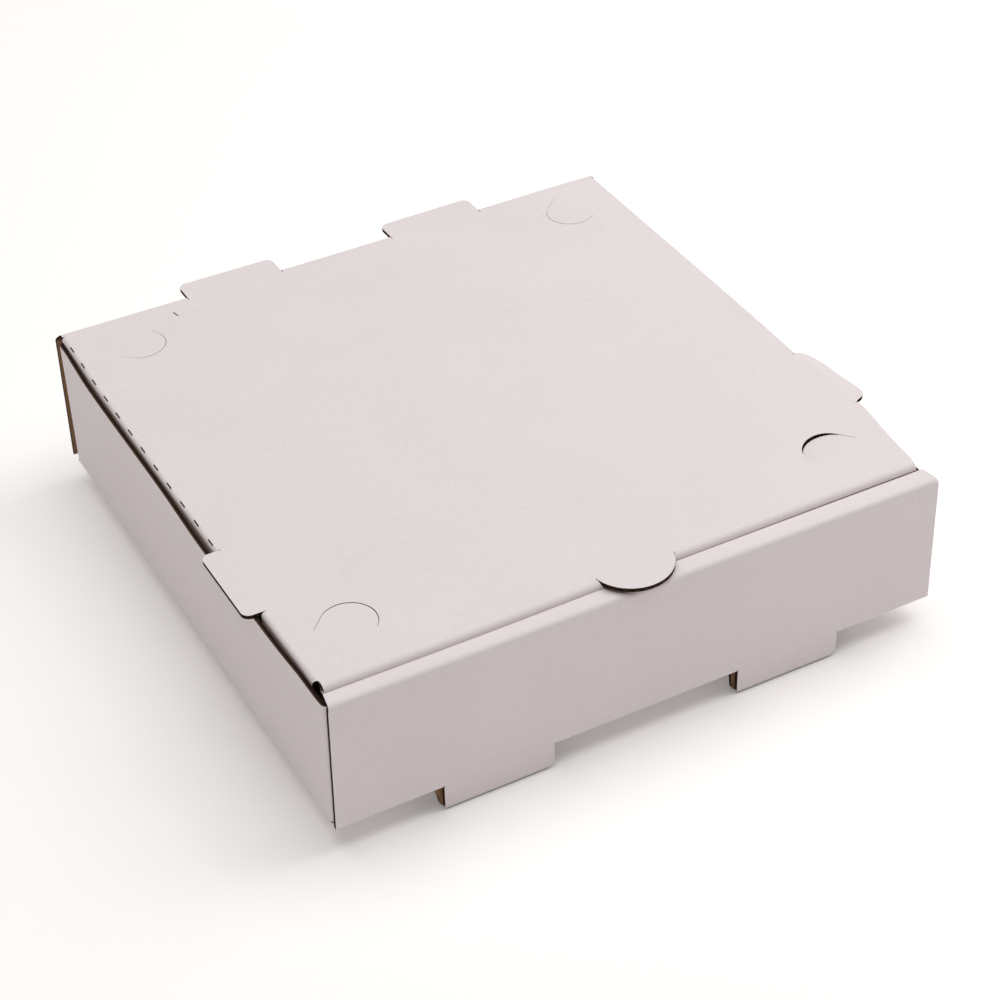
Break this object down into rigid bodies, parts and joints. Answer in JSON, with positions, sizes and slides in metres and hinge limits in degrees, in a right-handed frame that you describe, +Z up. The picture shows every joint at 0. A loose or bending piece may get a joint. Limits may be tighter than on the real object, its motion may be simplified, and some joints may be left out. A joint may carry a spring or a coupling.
{
  "type": "pizza box",
  "caption": "Small square corrugated pizza box, shut: hinged lid with tuck-in flaps, double front wall locked by floor tabs, thumb tab, cut vents.",
  "frame": {"origin": "middle of the footprint (tabs included), on the plane that the tips of the front lock tabs stand on", "axes": "+X along the front edge, +Y from the front to the hinge at the back, +Z up through the lid"},
  "size_m": [0.2456, 0.2488, 0.0658],
  "materials": {
    "tray_board": "matte, white outside and plain brown inside",
    "lid_board": "matte, white outside and plain brown inside"
  },
  "bodies": {
    "tray": {"tray": "tray_board"},
    "lid": {"lid": "lid_board"}
  },
  "joints": [
    {"name": "lid_hinge", "type": "hinge", "parent": "tray", "child": "lid", "pos_m": [0, 0.115, 0.06505], "axis": [-1, 0, 0], "range_deg": [0, 180]}
  ]
}
